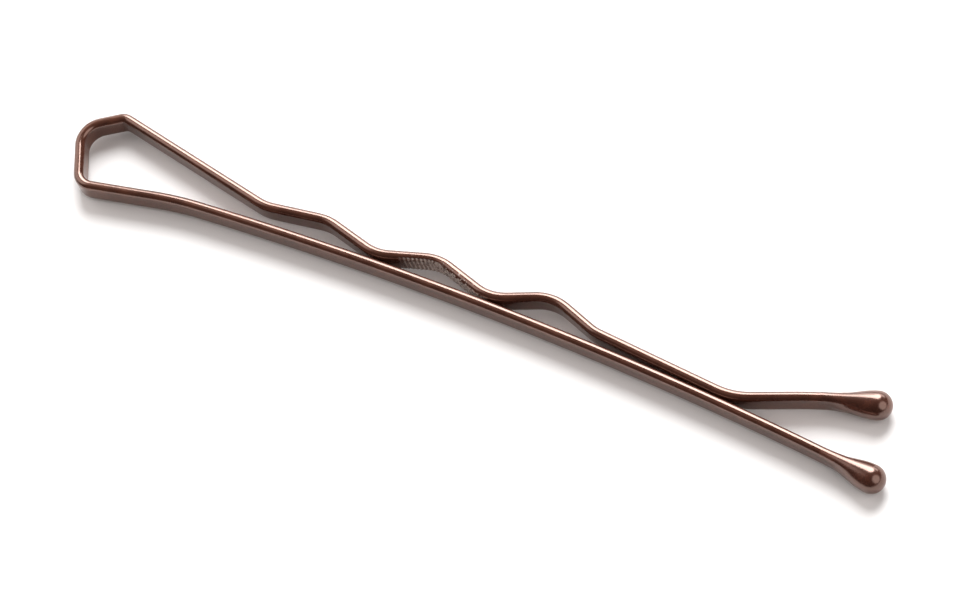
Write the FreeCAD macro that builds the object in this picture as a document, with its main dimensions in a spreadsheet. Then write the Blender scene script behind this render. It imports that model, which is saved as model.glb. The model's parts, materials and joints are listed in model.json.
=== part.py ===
import FreeCAD, Part

import math
import os
from collections import namedtuple
from enum import IntEnum

import Sketcher
from FreeCAD import Placement, Rotation, Vector

# Bobby pin, lying on its side as it lies on a table: +X from the head to the tips, +Y from the
# straight leg to the crimped leg, +Z up. The pin is one flat spring wire bent in one plane, with a
# dipped bead on each tip. The wire flexes at the roots of its two legs, so it is three pieces that
# meet at two flexures. All bends are laid out from the middle of the straight leg's centre line.

SIZES = [
    # whole pin and its wire, in millimetres
    ("pin_length", 50.8),
    ("wire_width", 1.4),
    ("wire_thickness", 0.55),
    ("wire_edge_radius", 0.2),
    # straight leg: one shallow bow towards the crimped leg
    ("bow_radius", 250.0),
    # flexures: distance from the back of the head, and the slit between the pieces
    ("straight_flexure", 8.4),
    ("crimped_flexure", 7.0),
    ("flexure_gap", 0.02),
    # head loop: chin, lower corner, shoulder and peak
    ("chin_radius", 20.0),
    ("chin_angle", 11.5),
    ("corner_radius", 0.9),
    ("corner_inset", 0.8),
    ("shoulder_radius", 1.25),
    ("shoulder_height", 0.87),
    ("peak_radius", 0.65),
    ("peak_height", 2.94),
    ("peak_from_back", 2.14),
    # crimps, as many as the leg has room for: gaps are clear distances from the straight leg's face
    ("crimp_pitch", 6.98),
    ("crimp_radius", 2.7),
    ("least_crimp_run", 0.4),
    ("first_valley", 11.95),
    ("least_plain_run", 6.5),
    ("first_valley_gap", 0.65),
    ("first_crest_gap", 0.95),
    ("second_valley_gap", 0.13),
    ("second_crest_gap", 0.88),
    ("third_valley_gap", 0.08),
    ("third_crest_gap", 1.12),
    ("last_valley_gap", 0.32),
    # nip, where the legs all but touch, and the flared end after it
    ("nip_from_tip", 10.4),
    ("nip_gap", 0.08),
    ("nip_radius", 4.3),
    ("flare_angle", 22.0),
    ("flare_radius", 22.0),
    ("crimped_tip_angle", 16.4),
    ("crimped_tip_setback", 1.6),
    # dipped beads
    ("bead_diameter", 1.6),
    ("bead_taper", 2.2),
    ("bead_mouth_diameter", 0.72),
    ("bond_clearance", 0.01),
]
SIZE = dict(SIZES)


class Turn(IntEnum):
    """The way a bend turns, seen by someone who walks along the wire."""
    LEFT = 1
    RIGHT = -1


class Vertex(IntEnum):
    """A point of a sketched line or arc."""
    START = 1
    END = 2
    CENTRE = 3


class Axis(IntEnum):
    """A sketch's own axes."""
    X = -1
    Y = -2


ORIGIN = (Axis.X, Vertex.START)

# A bend of the wire: its centre and radius as numbers and as formulas, and the way it turns
Bend = namedtuple("Bend", "x y radius turn x_formula y_formula radius_formula")
# A piece of a path sketch: its index, and the vertex where the path enters and leaves it
Piece = namedtuple("Piece", "index enter leave")

doc = FreeCAD.newDocument("bobby_pin")
sheet = doc.addObject("Spreadsheet::Sheet", "Sizes")
for row, (alias, value) in enumerate(SIZES, start=1):
    sheet.set(f"A{row}", alias)
    sheet.set(f"B{row}", str(value))
    sheet.setAlias(f"B{row}", alias)
doc.recompute()


def formula(text):
    """Puts the sheet's name before each size's name in a formula."""
    words = text.split()
    return " ".join(f"Sizes.{word}" if word in SIZE else word for word in words)


def worked_out(text):
    """The number that a formula gives, read from the sheet."""
    return float(sheet.evalExpression(formula(text)))


# Bends, laid out from the straight leg

BOW_CENTRE_Y = "( 0 - bow_radius )"
HEAD_BACK = "( 0 - pin_length / 2 )"
STRAIGHT_SPLIT = f"( {HEAD_BACK} + straight_flexure )"
CRIMPED_SPLIT = f"( {HEAD_BACK} + crimped_flexure )"
STRAIGHT_TIP = "( pin_length / 2 - bead_diameter / 2 )"
CRIMPED_TIP = f"( {STRAIGHT_TIP} - crimped_tip_setback )"


def bend(x_text, y_text, radius_text, turn):
    numbers = [worked_out(text) for text in (x_text, y_text, radius_text)]
    return Bend(*numbers, turn, formula(x_text), formula(y_text), formula(radius_text))


def bend_over_leg(x_text, gap, radius_text, turn):
    """A bend whose nearest point clears the straight leg's face by a named gap."""
    side = "+" if turn == Turn.LEFT else "-"
    reach = f"( bow_radius + wire_thickness + {gap} {side} {radius_text} )"
    y_text = f"{BOW_CENTRE_Y} + sqrt( {reach} ^ 2 - ( {x_text} ) ^ 2 )"
    return bend(x_text, y_text, radius_text, turn)


chin = bend(
    f"( 1 - chin_radius / bow_radius ) * {STRAIGHT_SPLIT}",
    f"{BOW_CENTRE_Y} + ( bow_radius - chin_radius ) * sqrt( 1 - ( {STRAIGHT_SPLIT} / bow_radius ) ^ 2 )",
    "chin_radius",
    Turn.LEFT,
)
shoulder = bend(
    f"{HEAD_BACK} + wire_thickness / 2 + shoulder_radius", "shoulder_height", "shoulder_radius", Turn.RIGHT
)
peak = bend(
    f"{HEAD_BACK} + peak_from_back",
    "peak_height - wire_thickness / 2 - peak_radius",
    "peak_radius",
    Turn.RIGHT,
)

# Each crimp is a valley and a crest, and a last valley ends them; past the third they are alike
VALLEY_GAPS = ["first_valley_gap", "second_valley_gap", "third_valley_gap"]
CREST_GAPS = ["first_crest_gap", "second_crest_gap", "third_crest_gap"]
CRIMP_ROOM = "( pin_length - nip_from_tip - least_plain_run - first_valley )"
# A crimp's bends are only as round as its steepest flank allows
HIGHEST_CREST = f"max( {' ; '.join(CREST_GAPS)} )"
LOWEST_VALLEY = f"min( {' ; '.join(VALLEY_GAPS)} ; last_valley_gap )"
CRIMP_RISE = f"( {HIGHEST_CREST} - {LOWEST_VALLEY} )"
FLANK = "( crimp_pitch / 2 )"
ROUNDEST_CRIMP = f"( {FLANK} ^ 2 + {CRIMP_RISE} ^ 2 - least_crimp_run ^ 2 ) / ( 4 * {CRIMP_RISE} )"
CRIMP_BEND = f"min( crimp_radius ; {ROUNDEST_CRIMP} )"
crimp_count = max(1, math.floor(worked_out(f"{CRIMP_ROOM} / crimp_pitch")))
crimps = []
for number in range(crimp_count):
    named = min(number, len(CREST_GAPS) - 1)
    valley_x = f"{HEAD_BACK} + first_valley + {number} * crimp_pitch"
    crest_x = f"{valley_x} + {FLANK}"
    crimps.append(bend_over_leg(valley_x, VALLEY_GAPS[named], CRIMP_BEND, Turn.LEFT))
    crimps.append(bend_over_leg(crest_x, CREST_GAPS[named], CRIMP_BEND, Turn.RIGHT))
last_valley_x = f"{HEAD_BACK} + first_valley + {crimp_count} * crimp_pitch"
crimps.append(bend_over_leg(last_valley_x, "last_valley_gap", CRIMP_BEND, Turn.LEFT))
valley_after_peak = crimps[0]
nip = bend_over_leg("pin_length / 2 - nip_from_tip", "nip_gap", "nip_radius", Turn.LEFT)


# Tangent lines between bends, and the points where they touch

def tangent_heading(first, second):
    """Direction, in radians, of the straight run from one bend to the next."""
    across = second.x - first.x
    along = second.y - first.y
    offset = second.turn * second.radius - first.turn * first.radius
    return math.atan2(along, across) - math.asin(offset / math.hypot(across, along))


def touch_point(one_bend, heading):
    """Point of a bend where the wire runs in a given direction."""
    side = one_bend.turn * one_bend.radius
    return Vector(one_bend.x + side * math.sin(heading), one_bend.y - side * math.cos(heading), 0)


def along_run(point, heading, x):
    """Point of a straight run at a given X."""
    return Vector(x, point.y + (x - point.x) * math.tan(heading), 0)


# The chin runs down to the lower corner at a set angle, which places that corner
chin_heading = math.pi + math.radians(SIZE["chin_angle"])
chin_end = touch_point(chin, chin_heading)
CORNER_X = f"{HEAD_BACK} + corner_inset + wire_thickness / 2 + corner_radius"
corner_x = worked_out(CORNER_X)
corner_start = along_run(
    chin_end, chin_heading, corner_x + SIZE["corner_radius"] * math.sin(chin_heading) * Turn.RIGHT
)
corner = Bend(
    corner_x,
    corner_start.y - SIZE["corner_radius"] * math.cos(chin_heading),
    SIZE["corner_radius"],
    Turn.RIGHT,
    formula(CORNER_X),
    None,
    formula("corner_radius"),
)

# The flare leaves the nip at one angle and ends at another, and its reach is the crimped tip's
flare_heading = math.radians(SIZE["flare_angle"])
crimped_tip_heading = math.radians(SIZE["crimped_tip_angle"])
flare_start = touch_point(nip, flare_heading)
flare_end_x = worked_out(CRIMPED_TIP) - SIZE["bead_taper"] * math.cos(crimped_tip_heading)
flare_x = flare_end_x + SIZE["flare_radius"] * math.sin(crimped_tip_heading)
flare_turn_start = along_run(
    flare_start, flare_heading, flare_x - SIZE["flare_radius"] * math.sin(flare_heading)
)
flare = Bend(
    flare_x,
    flare_turn_start.y - SIZE["flare_radius"] * math.cos(flare_heading),
    SIZE["flare_radius"],
    Turn.RIGHT,
    None,
    None,
    formula("flare_radius"),
)
flare_end = touch_point(flare, crimped_tip_heading)
crimped_tip = flare_end + SIZE["bead_taper"] * Vector(
    math.cos(crimped_tip_heading), math.sin(crimped_tip_heading), 0
)

# The bow runs into the straight tail that the bead grips
bow = Bend(0, -SIZE["bow_radius"], SIZE["bow_radius"], Turn.RIGHT, None, None, formula("bow_radius"))
straight_tip_x = worked_out(STRAIGHT_TIP)
tail_reach = math.hypot(SIZE["bow_radius"], SIZE["bead_taper"])
tail_angle = math.atan2(SIZE["bead_taper"], SIZE["bow_radius"])
straight_tip_heading = tail_angle - math.asin(straight_tip_x / tail_reach)
bow_end = touch_point(bow, straight_tip_heading)
straight_tip = bow_end + SIZE["bead_taper"] * Vector(
    math.cos(straight_tip_heading), math.sin(straight_tip_heading), 0
)

# The pin is centred on Y between its beads, and stands on whatever reaches lowest
MIDDLE = Vector(
    0,
    -(straight_tip.y + crimped_tip.y) / 2,
    max(SIZE["bead_diameter"], SIZE["wire_width"]) / 2,
)


# Sketches

def new_body(name):
    body = doc.addObject("PartDesign::Body", name)
    body.Label = name
    return body


def new_sketch(body, name, role):
    sketch = body.newObject("Sketcher::SketchObject", name)
    plane = next(feature for feature in body.Origin.OriginFeatures if feature.Role == role)
    sketch.AttachmentSupport = [(plane, "")]
    sketch.MapMode = "FlatFace"
    return sketch


def hold(sketch, *constraint, to=None):
    """Adds one constraint, and ties its value to a formula of the sheet's sizes."""
    index = sketch.addConstraint(Sketcher.Constraint(*constraint))
    if to:
        sketch.setExpression(f"Constraints[{index}]", to)


def draw_run(sketch, start, end):
    return Piece(sketch.addGeometry(Part.LineSegment(start, end)), Vertex.START, Vertex.END)


def draw_bend(sketch, one_bend, heading_in, heading_out):
    circle = Part.Circle(Vector(one_bend.x, one_bend.y, 0), Vector(0, 0, 1), one_bend.radius)
    if one_bend.turn == Turn.LEFT:
        first, last = heading_in - math.pi / 2, heading_out - math.pi / 2
        return Piece(sketch.addGeometry(Part.ArcOfCircle(circle, first, last)), Vertex.START, Vertex.END)
    first, last = heading_out + math.pi / 2, heading_in + math.pi / 2
    return Piece(sketch.addGeometry(Part.ArcOfCircle(circle, first, last)), Vertex.END, Vertex.START)


def draw_forming_circle(sketch, one_bend):
    """A neighbour's bend, drawn for reference only."""
    circle = Part.Circle(Vector(one_bend.x, one_bend.y, 0), Vector(0, 0, 1), one_bend.radius)
    piece = Piece(sketch.addGeometry(circle, True), None, None)
    place_bend(sketch, piece, one_bend)
    return piece


def place_bend(sketch, piece, one_bend):
    hold(sketch, "Radius", piece.index, one_bend.radius, to=one_bend.radius_formula)
    if one_bend.x_formula:
        hold(sketch, "DistanceX", *ORIGIN, piece.index, Vertex.CENTRE, one_bend.x, to=one_bend.x_formula)
    if one_bend.y_formula:
        hold(sketch, "DistanceY", *ORIGIN, piece.index, Vertex.CENTRE, one_bend.y, to=one_bend.y_formula)


def place_x(sketch, piece, vertex, x, text):
    hold(sketch, "DistanceX", *ORIGIN, piece.index, vertex, x, to=formula(text))


def join(sketch, pieces):
    for one, following in zip(pieces, pieces[1:]):
        hold(sketch, "Tangent", one.index, one.leave, following.index, following.enter)


def draw_wire_section(sketch, clearance):
    """The flat wire's section: a rectangle with rounded edges, wider than it is thick."""
    half_thickness = SIZE["wire_thickness"] / 2 + clearance
    half_width = SIZE["wire_width"] / 2 + clearance
    radius = SIZE["wire_edge_radius"] + clearance
    inner_x = half_thickness - radius
    inner_y = half_width - radius
    sides = []
    corners = []
    for quarter, (sign_x, sign_y) in enumerate([(1, 1), (-1, 1), (-1, -1), (1, -1)]):
        angle = quarter * math.pi / 2
        if quarter % 2 == 0:
            start = Vector(sign_x * half_thickness, -sign_y * inner_y, 0)
            end = Vector(sign_x * half_thickness, sign_y * inner_y, 0)
        else:
            start = Vector(-sign_x * inner_x, sign_y * half_width, 0)
            end = Vector(sign_x * inner_x, sign_y * half_width, 0)
        sides.append(draw_run(sketch, start, end))
        edge = Part.Circle(Vector(sign_x * inner_x, sign_y * inner_y, 0), Vector(0, 0, 1), radius)
        arc = sketch.addGeometry(Part.ArcOfCircle(edge, angle, angle + math.pi / 2))
        corners.append(Piece(arc, Vertex.START, Vertex.END))
    ring = [piece for pair in zip(sides, corners) for piece in pair]
    join(sketch, ring + ring[:1])
    for quarter, side in enumerate(sides):
        hold(sketch, "Horizontal" if quarter % 2 else "Vertical", side.index)
    spare = "" if clearance == 0 else " + bond_clearance"
    twice = "" if clearance == 0 else " + 2 * bond_clearance"
    for piece in corners:
        hold(sketch, "Radius", piece.index, radius, to=formula("wire_edge_radius" + spare))
    right, top, left, bottom = [side.index for side in sides]
    hold(sketch, "DistanceX", left, Vertex.START, right, Vertex.START, 2 * half_thickness,
         to=formula("wire_thickness" + twice))
    hold(sketch, "DistanceY", bottom, Vertex.START, top, Vertex.START, 2 * half_width,
         to=formula("wire_width" + twice))
    hold(sketch, "Symmetric", corners[0].index, Vertex.CENTRE, corners[2].index, Vertex.CENTRE, *ORIGIN)


def sweep_wire(body, path, start, heading):
    """Sweeps the wire's section along a path that starts at a point in a given direction."""
    section = new_sketch(body, f"{body.Name}_section", "YZ_Plane")
    section.AttachmentOffset = Placement(
        Vector(start.y, 0, start.x), Rotation(Vector(0, 1, 0), math.degrees(heading))
    )
    draw_wire_section(section, 0)
    doc.recompute()
    wire = body.newObject("PartDesign::AdditivePipe", f"{body.Name}_wire")
    wire.Profile = section
    wire.Spine = path
    wire.Refine = False
    body.Placement = Placement(MIDDLE, Rotation())
    doc.recompute()


# Straight leg: the bow, and the short straight tail inside the bead

half_gap = SIZE["flexure_gap"] / 2
straight_split_x = worked_out(STRAIGHT_SPLIT)
crimped_split_x = worked_out(CRIMPED_SPLIT)


def make_straight_leg():
    body = new_body("straight_leg")
    path = new_sketch(body, "straight_leg_path", "XY_Plane")
    start_x = straight_split_x + half_gap
    start_heading = -math.asin(start_x / bow.radius)
    leg = draw_bend(path, bow, start_heading, straight_tip_heading)
    tail = draw_run(path, bow_end, straight_tip)
    join(path, [leg, tail])
    hold(path, "PointOnObject", leg.index, Vertex.CENTRE, Axis.Y)
    hold(path, "DistanceY", leg.index, Vertex.CENTRE, *ORIGIN, bow.radius, to=bow.radius_formula)
    hold(path, "Radius", leg.index, bow.radius, to=bow.radius_formula)
    place_x(path, leg, leg.enter, start_x, f"{STRAIGHT_SPLIT} + flexure_gap / 2")
    hold(path, "Distance", tail.index, SIZE["bead_taper"], to=formula("bead_taper"))
    place_x(path, tail, tail.leave, straight_tip_x, STRAIGHT_TIP)
    sweep_wire(body, path, touch_point(bow, start_heading), start_heading)
    return body


# Head bend: chin, lower corner, back, shoulder, slanted top, peak and the start of the long run down

def make_head_bend():
    body = new_body("head_bend")
    path = new_sketch(body, "head_bend_path", "XY_Plane")
    bends = [chin, corner, shoulder, peak]
    start_x = straight_split_x - half_gap
    start_heading = math.pi + math.asin((chin.x - start_x) / chin.radius)
    headings = [start_heading, chin_heading]
    headings += [tangent_heading(one, following) for one, following in zip(bends[1:], bends[2:])]
    headings.append(tangent_heading(peak, valley_after_peak))
    pieces = []
    for one_bend, heading_in, heading_out in zip(bends, headings, headings[1:]):
        if pieces:
            run_start = touch_point(bends[bends.index(one_bend) - 1], heading_in)
            pieces.append(draw_run(path, run_start, touch_point(one_bend, heading_in)))
        pieces.append(draw_bend(path, one_bend, heading_in, heading_out))
        place_bend(path, pieces[-1], one_bend)
    run_start = touch_point(peak, headings[-1])
    end_x = crimped_split_x - half_gap
    pieces.append(draw_run(path, run_start, along_run(run_start, headings[-1], end_x)))
    join(path, pieces)
    chin_piece, chin_run, long_run = pieces[0], pieces[1], pieces[-1]
    place_x(path, chin_piece, chin_piece.enter, start_x, f"{STRAIGHT_SPLIT} - flexure_gap / 2")
    hold(path, "Angle", chin_run.index, chin_heading, to=formula("180 + chin_angle"))
    valley = draw_forming_circle(path, valley_after_peak)
    hold(path, "Tangent", long_run.index, valley.index)
    place_x(path, long_run, long_run.leave, end_x, f"{CRIMPED_SPLIT} - flexure_gap / 2")
    sweep_wire(body, path, touch_point(chin, start_heading), start_heading)
    return body


# Crimped leg: the rest of the long run, three crimps, the nip and the flared end

def make_crimped_leg():
    body = new_body("crimped_leg")
    path = new_sketch(body, "crimped_leg_path", "XY_Plane")
    bends = crimps + [nip, flare]
    headings = [tangent_heading(peak, valley_after_peak)]
    headings += [tangent_heading(one, following) for one, following in zip(bends, bends[1:-1])]
    headings += [flare_heading, crimped_tip_heading]
    start_x = crimped_split_x + half_gap
    run_start = along_run(touch_point(peak, headings[0]), headings[0], start_x)
    pieces = []
    for one_bend, heading_in, heading_out in zip(bends, headings, headings[1:]):
        pieces.append(draw_run(path, run_start, touch_point(one_bend, heading_in)))
        pieces.append(draw_bend(path, one_bend, heading_in, heading_out))
        place_bend(path, pieces[-1], one_bend)
        run_start = touch_point(one_bend, heading_out)
    pieces.append(draw_run(path, flare_end, crimped_tip))
    join(path, pieces)
    long_run, flare_run, tail = pieces[0], pieces[-3], pieces[-1]
    top = draw_forming_circle(path, peak)
    hold(path, "Tangent", long_run.index, top.index)
    place_x(path, long_run, long_run.enter, start_x, f"{CRIMPED_SPLIT} + flexure_gap / 2")
    hold(path, "Angle", flare_run.index, flare_heading, to=formula("flare_angle"))
    hold(path, "Angle", tail.index, crimped_tip_heading, to=formula("crimped_tip_angle"))
    hold(path, "Distance", tail.index, SIZE["bead_taper"], to=formula("bead_taper"))
    place_x(path, tail, tail.leave, worked_out(CRIMPED_TIP), CRIMPED_TIP)
    start = along_run(touch_point(peak, headings[0]), headings[0], start_x)
    sweep_wire(body, path, start, headings[0])
    return body


# Beads: a dipped drop that swells from the wire's flat faces to a ball at its end

def make_bead(name, ball_centre, heading):
    body = new_body(name)
    ball_radius = SIZE["bead_diameter"] / 2
    mouth_radius = SIZE["bead_mouth_diameter"] / 2
    taper = SIZE["bead_taper"]
    neck_radius = (taper ** 2 + mouth_radius ** 2 - ball_radius ** 2) / (
        2 * (ball_radius - mouth_radius)
    )
    neck_centre = Vector(-taper, mouth_radius + neck_radius, 0)
    swell = math.atan2(neck_centre.y, neck_centre.x)
    drop = new_sketch(body, f"{name}_drop", "XY_Plane")
    up = Vector(0, 0, 1)
    ball = Part.ArcOfCircle(Part.Circle(Vector(), up, ball_radius), 0, swell)
    neck = Part.ArcOfCircle(Part.Circle(neck_centre, up, neck_radius), -math.pi / 2, swell - math.pi)
    ball = Piece(drop.addGeometry(ball), Vertex.START, Vertex.END)
    neck = Piece(drop.addGeometry(neck), Vertex.END, Vertex.START)
    mouth = draw_run(drop, Vector(-taper, mouth_radius, 0), Vector(-taper, 0, 0))
    axis = draw_run(drop, Vector(-taper, 0, 0), Vector(ball_radius, 0, 0))
    join(drop, [ball, neck])
    for one, following in [(neck, mouth), (mouth, axis), (axis, ball)]:
        hold(drop, "Coincident", one.index, one.leave, following.index, following.enter)
    hold(drop, "Coincident", ball.index, Vertex.CENTRE, *ORIGIN)
    hold(drop, "Radius", ball.index, ball_radius, to=formula("bead_diameter / 2"))
    hold(drop, "PointOnObject", axis.index, Vertex.START, Axis.X)
    hold(drop, "PointOnObject", axis.index, Vertex.END, Axis.X)
    hold(drop, "Vertical", mouth.index)
    hold(drop, "DistanceX", mouth.index, Vertex.END, *ORIGIN, taper, to=formula("bead_taper"))
    hold(drop, "DistanceX", neck.index, Vertex.CENTRE, *ORIGIN, taper, to=formula("bead_taper"))
    hold(drop, "DistanceY", mouth.index, Vertex.END, mouth.index, Vertex.START, mouth_radius,
         to=formula("bead_mouth_diameter / 2"))
    doc.recompute()
    swelling = body.newObject("PartDesign::Revolution", f"{name}_swelling")
    swelling.Profile = drop
    swelling.ReferenceAxis = (drop, ["H_Axis"])
    swelling.Angle = 360
    doc.recompute()
    whole_drop = swelling.Shape.Volume
    socket_section = new_sketch(body, f"{name}_socket_section", "YZ_Plane")
    socket_section.AttachmentOffset = Placement(Vector(0, 0, -taper), Rotation())
    socket_section.setExpression("AttachmentOffset.Base.z", formula("0 - bead_taper"))
    draw_wire_section(socket_section, SIZE["bond_clearance"])
    socket = body.newObject("PartDesign::Pocket", f"{name}_socket")
    socket.Profile = socket_section
    socket.Reversed = True
    socket.Length = taper + SIZE["bond_clearance"]
    socket.setExpression("Length", formula("bead_taper + bond_clearance"))
    body.Placement = Placement(
        ball_centre + MIDDLE, Rotation(Vector(0, 0, 1), math.degrees(heading))
    )
    doc.recompute()
    if socket.Shape.Volume >= whole_drop:
        raise RuntimeError(f"{name}: the socket cut nothing")
    return body


pieces = [
    make_straight_leg(),
    make_head_bend(),
    make_crimped_leg(),
    make_bead("straight_leg_tip", straight_tip, straight_tip_heading),
    make_bead("crimped_leg_tip", crimped_tip, crimped_tip_heading),
]
doc.recompute()

# Every object has to be sound before anything is written
for item in doc.Objects:
    if "Invalid" in item.State or "Error" in item.State:
        raise RuntimeError(f"{item.Name}: {item.State}")
for piece in pieces:
    if piece.Shape.isNull() or not piece.Shape.isValid() or len(piece.Shape.Solids) != 1:
        raise RuntimeError(f"{piece.Label} isn't one sound solid")

os.makedirs("parts", exist_ok=True)
whole = FreeCAD.BoundBox()
for piece in pieces:
    piece.Shape.exportStep(f"parts/{piece.Label}.step")
    whole.add(piece.Shape.optimalBoundingBox(True, False))
    print(f"{piece.Label}: {piece.Shape.Volume:.3f} mm3, {len(piece.Shape.Faces)} faces")
print(f"whole pin: {whole.XLength:.2f} x {whole.YLength:.2f} x {whole.ZLength:.2f} mm")


# Each flexure turns about the wire's outer face, so that its slit only opens

def outer_face(point, heading, side):
    out = SIZE["wire_thickness"] / 2 * side
    return point + MIDDLE + Vector(-math.sin(heading) * out, math.cos(heading) * out, 0)


straight_split_heading = -math.asin(straight_split_x / bow.radius)
straight_pivot = outer_face(touch_point(bow, straight_split_heading), straight_split_heading, Turn.RIGHT)
long_run_heading = tangent_heading(peak, valley_after_peak)
crimped_split = along_run(touch_point(peak, long_run_heading), long_run_heading, crimped_split_x)
crimped_pivot = outer_face(crimped_split, long_run_heading, Turn.LEFT)
for name, point in [("straight", straight_pivot), ("crimped", crimped_pivot)]:
    print(f"{name} flexure turns about Z at {point.x:.4f}, {point.y:.4f}, {point.z:.4f} mm")
rest_edge = Vector(0, 0, -SIZE["wire_width"] / 2) + MIDDLE
print(f"rest edge at {rest_edge.x:.4f}, {rest_edge.y:.4f}, {rest_edge.z:.4f} mm")
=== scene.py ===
# %% [markdown]
# # A bobby pin, from plain wire to glossy lacquer
#
# A bobby pin is one length of flat spring wire, bent in one plane, dipped in brown lacquer, with a
# drop of lacquer on each tip. This lesson bends the wire again as a smooth mesh, on exactly the line
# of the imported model, and then gives it its finish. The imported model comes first, because it says
# where everything is and how it moves.

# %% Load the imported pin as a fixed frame
import json
import math
from collections import namedtuple

import bmesh
import bpy
from mathutils import Matrix, Vector
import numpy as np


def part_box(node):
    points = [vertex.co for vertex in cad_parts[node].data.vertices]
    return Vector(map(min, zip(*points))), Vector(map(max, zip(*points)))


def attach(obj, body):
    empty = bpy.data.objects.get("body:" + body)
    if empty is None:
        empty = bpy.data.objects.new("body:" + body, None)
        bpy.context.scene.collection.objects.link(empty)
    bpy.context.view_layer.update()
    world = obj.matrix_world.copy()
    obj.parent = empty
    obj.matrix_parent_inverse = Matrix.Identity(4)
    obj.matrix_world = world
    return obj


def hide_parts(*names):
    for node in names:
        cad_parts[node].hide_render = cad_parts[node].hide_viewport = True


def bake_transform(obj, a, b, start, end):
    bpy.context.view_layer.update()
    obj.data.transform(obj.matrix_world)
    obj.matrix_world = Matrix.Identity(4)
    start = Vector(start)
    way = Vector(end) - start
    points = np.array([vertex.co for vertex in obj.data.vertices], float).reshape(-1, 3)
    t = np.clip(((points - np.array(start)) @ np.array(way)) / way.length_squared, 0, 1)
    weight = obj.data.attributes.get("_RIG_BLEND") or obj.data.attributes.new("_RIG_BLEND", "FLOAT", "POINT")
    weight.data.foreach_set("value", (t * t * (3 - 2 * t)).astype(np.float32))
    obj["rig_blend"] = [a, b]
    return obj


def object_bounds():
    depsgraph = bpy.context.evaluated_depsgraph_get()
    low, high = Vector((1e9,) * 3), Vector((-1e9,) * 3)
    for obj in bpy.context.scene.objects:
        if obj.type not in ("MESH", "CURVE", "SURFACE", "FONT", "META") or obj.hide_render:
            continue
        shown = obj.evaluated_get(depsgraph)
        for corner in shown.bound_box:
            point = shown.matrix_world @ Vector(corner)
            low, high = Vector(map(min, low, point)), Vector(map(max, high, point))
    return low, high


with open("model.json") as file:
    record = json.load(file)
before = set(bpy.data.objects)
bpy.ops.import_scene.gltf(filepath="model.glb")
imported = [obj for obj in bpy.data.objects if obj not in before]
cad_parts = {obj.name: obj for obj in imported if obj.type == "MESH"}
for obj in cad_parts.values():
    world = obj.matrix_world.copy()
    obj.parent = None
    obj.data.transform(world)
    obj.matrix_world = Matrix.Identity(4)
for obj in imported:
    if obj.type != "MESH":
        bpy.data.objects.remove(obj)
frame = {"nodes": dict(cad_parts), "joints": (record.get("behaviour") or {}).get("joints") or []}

MM = 0.001
cad_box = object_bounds()
joint_at = {joint["name"]: Vector(joint["pos_m"]) for joint in frame["joints"]}

# %% [markdown]
# ## The line that the wire follows
#
# A wire former is set up with a row of pins: the wire runs straight from one pin to the next and wraps
# round each of them. The same few pins give this wire its line. Each one is a circle with a centre, a
# radius and the way that the wire turns round it. A list of points along the wire would be longer, and
# its bends would have corners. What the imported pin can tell, such as its length and the width of its
# wire, is measured on it.

# %% Measure the wire
WIRE_THICKNESS = 0.55 * MM
WIRE_EDGE_RADIUS = 0.26 * MM
BEAD_TAPER = 2.2 * MM
CRIMPED_TIP_SETBACK = 1.6 * MM

leg_low, leg_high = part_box("straight_leg")
WIRE_WIDTH = leg_high.z - leg_low.z
MIDDLE_Z = joint_at["straight_leg_flex"].z
HEAD_BACK = cad_box[0].x
PIN_END = cad_box[1].x
BEAD_RADIUS = MIDDLE_Z - cad_box[0].z
STRAIGHT_TIP_X = PIN_END - BEAD_RADIUS
print(f"wire {WIRE_WIDTH / MM:.2f} mm wide, bead {2 * BEAD_RADIUS / MM:.2f} mm across")

# %% Place the straight leg's bow
LEFT = 1
RIGHT = -1
Bend = namedtuple("Bend", "x y radius turn")

BOW_RADIUS = 250 * MM
STRAIGHT_FLEXURE = 8.4 * MM

split_x = HEAD_BACK + STRAIGHT_FLEXURE
split_heading = -math.asin(split_x / BOW_RADIUS)
# The flexure's pivot is on the wire's lower face, half a wire below the line
pivot = joint_at["straight_leg_flex"]
BOW_TOP_Y = pivot.y + (WIRE_THICKNESS / 2 - BOW_RADIUS) * math.cos(split_heading) + BOW_RADIUS
bow = Bend(0, BOW_TOP_Y - BOW_RADIUS, BOW_RADIUS, RIGHT)
print(f"the bow's top is {BOW_TOP_Y / MM:.3f} mm from the middle of the pin")

# %% Find where the wire touches a bend, and which way it runs between two
def touch_point(bend, heading):
    """Point of a bend where the wire runs in a given direction."""
    side = bend.turn * bend.radius
    return Vector((bend.x + side * math.sin(heading), bend.y - side * math.cos(heading), MIDDLE_Z))


def heading_between(first, second):
    """Direction of the straight run from one bend to the next."""
    gap = Vector((second.x - first.x, second.y - first.y))
    offset = second.turn * second.radius - first.turn * first.radius
    return math.atan2(gap.y, gap.x) - math.asin(offset / gap.length)


def along_run(point, heading, x):
    """Point of a straight run at a given X."""
    return Vector((x, point.y + (x - point.x) * math.tan(heading), MIDDLE_Z))


# %% Place the bends of the head: chin, lower corner, shoulder and peak
CHIN_RADIUS = 20 * MM
CHIN_HEADING = math.radians(11.5)
CORNER_RADIUS = 0.9 * MM
CORNER_INSET = 0.8 * MM
SHOULDER_RADIUS = 1.25 * MM
SHOULDER_HEIGHT = 0.87 * MM
PEAK_RADIUS = 0.65 * MM
PEAK_HEIGHT = 2.94 * MM
PEAK_FROM_BACK = 2.14 * MM

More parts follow.
